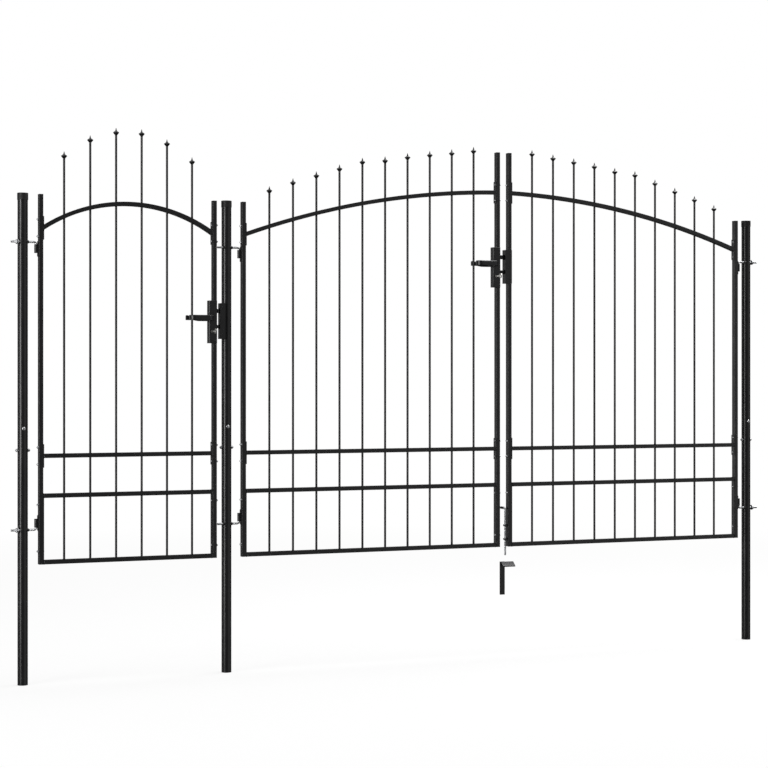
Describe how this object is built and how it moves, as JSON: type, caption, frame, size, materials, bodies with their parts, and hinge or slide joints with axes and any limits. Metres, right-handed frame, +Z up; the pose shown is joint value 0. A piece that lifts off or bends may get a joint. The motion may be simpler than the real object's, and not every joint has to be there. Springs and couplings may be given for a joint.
{
  "type": "wrought iron driveway gate",
  "caption": "Black steel walk gate and double-leaf drive gate with arched top rails and spear-tipped pickets, hung on round posts by adjustable hinge rods, with lever locks and a drop bolt.",
  "frame": {"origin": "centre of the middle post's foot", "axes": "+X along the gates to the right as seen from outside, +Y inwards, the way the leaves open, +Z up"},
  "size_m": [4.116, 0.145, 2.625],
  "materials": {
    "black_coat": "satin black powder coat",
    "zinc": "bright zinc plate",
    "black_plastic": "matt black plastic",
    "nickel": "satin nickel plate"
  },
  "bodies": {
    "posts": {"left_post_lower": "black_coat", "left_post_upper": "black_coat", "middle_post_lower": "black_coat", "middle_post_upper": "black_coat", "right_post_lower": "black_coat", "right_post_upper": "black_coat", "post_caps": "black_plastic", "hinge_rods": "zinc", "single_keep": "black_coat", "ground_stop_stake": "black_coat", "ground_stop_plate": "black_coat"},
    "single_gate": {"single_gate_hinge_stile": "black_coat", "single_gate_lock_stile": "black_coat", "single_gate_stile_caps": "black_plastic", "single_gate_arch_rail": "black_coat", "single_gate_upper_rail": "black_coat", "single_gate_lower_rails": "black_coat", "single_gate_pickets": "black_coat", "single_gate_hinge_eyes": "black_coat", "single_lock_case": "black_coat", "single_lock_cylinder": "black_coat"},
    "left_leaf": {"left_leaf_hinge_stile": "black_coat", "left_leaf_lock_stile": "black_coat", "left_leaf_stile_caps": "black_plastic", "left_leaf_arch_rail": "black_coat", "left_leaf_upper_rail": "black_coat", "left_leaf_lower_rails": "black_coat", "left_leaf_pickets": "black_coat", "left_leaf_hinge_eyes": "black_coat", "double_lock_case": "black_coat", "double_lock_cylinder": "black_coat"},
    "right_leaf": {"right_leaf_hinge_stile": "black_coat", "right_leaf_lock_stile": "black_coat", "right_leaf_stile_caps": "black_plastic", "right_leaf_arch_rail": "black_coat", "right_leaf_upper_rail": "black_coat", "right_leaf_lower_rails": "black_coat", "right_leaf_pickets": "black_coat", "right_leaf_hinge_eyes": "black_coat", "double_keep": "black_coat", "drop_bolt_guides": "black_coat"},
    "single_lever": {"single_lever": "black_coat"},
    "single_latch": {"single_latch": "black_coat"},
    "single_deadbolt": {"single_deadbolt": "black_coat"},
    "single_key": {"single_key": "nickel"},
    "double_lever": {"double_lever": "black_coat"},
    "double_latch": {"double_latch": "black_coat"},
    "double_deadbolt": {"double_deadbolt": "black_coat"},
    "double_key": {"double_key": "nickel"},
    "drop_bolt": {"drop_bolt_rod": "zinc", "drop_bolt_knob": "black_plastic"}
  },
  "joints": [
    {"name": "single_gate_swing", "type": "hinge", "parent": "posts", "child": "single_gate", "pos_m": [-0.941, -0.015, 0.756], "axis": [0, 0, 1], "range_deg": [0, 95]},
    {"name": "left_leaf_swing", "type": "hinge", "parent": "posts", "child": "left_leaf", "pos_m": [0.059, -0.015, 0.756], "axis": [0, 0, 1], "range_deg": [0, 95]},
    {"name": "right_leaf_swing", "type": "hinge", "parent": "posts", "child": "right_leaf", "pos_m": [2.941, -0.015, 0.756], "axis": [0, 0, -1], "range_deg": [0, 95]},
    {"name": "single_lever_turn", "type": "hinge", "parent": "single_gate", "child": "single_lever", "pos_m": [-0.0862, -0.015, 1.728], "axis": [0, -1, 0], "range_deg": [0, 40], "stiffness_Nm_per_rad": 1.2, "springref_deg": -34.38},
    {"name": "single_latch_slide", "type": "slide", "parent": "single_gate", "child": "single_latch", "axis": [-1, 0, 0], "range_m": [0, 0.01]},
    {"name": "single_key_turn", "type": "hinge", "parent": "single_gate", "child": "single_key", "pos_m": [-0.0862, -0.015, 1.661], "axis": [0, 1, 0], "range_deg": [0, 360]},
    {"name": "single_deadbolt_slide", "type": "slide", "parent": "single_gate", "child": "single_deadbolt", "axis": [1, 0, 0], "range_m": [0, 0.016]},
    {"name": "double_lever_turn", "type": "hinge", "parent": "left_leaf", "child": "double_lever", "pos_m": [1.4483, -0.015, 2.028], "axis": [0, -1, 0], "range_deg": [0, 40], "stiffness_Nm_per_rad": 1.2, "springref_deg": -34.38},
    {"name": "double_latch_slide", "type": "slide", "parent": "left_leaf", "child": "double_latch", "axis": [-1, 0, 0], "range_m": [0, 0.01]},
    {"name": "double_key_turn", "type": "hinge", "parent": "left_leaf", "child": "double_key", "pos_m": [1.4483, -0.015, 1.961], "axis": [0, 1, 0], "range_deg": [0, 360]},
    {"name": "double_deadbolt_slide", "type": "slide", "parent": "left_leaf", "child": "double_deadbolt", "axis": [1, 0, 0], "range_m": [0, 0.016]},
    {"name": "drop_bolt_slide", "type": "slide", "parent": "right_leaf", "child": "drop_bolt", "axis": [0, 0, -1], "range_m": [0, 0.07]}
  ],
  "couplings": [
    {"joint": "single_latch_slide", "follows": "single_lever_turn", "m_per_rad": 0.0143},
    {"joint": "single_key_turn", "follows": "single_deadbolt_slide", "rad_per_m": 392.6},
    {"joint": "double_latch_slide", "follows": "double_lever_turn", "m_per_rad": 0.0143},
    {"joint": "double_key_turn", "follows": "double_deadbolt_slide", "rad_per_m": 392.6}
  ]
}
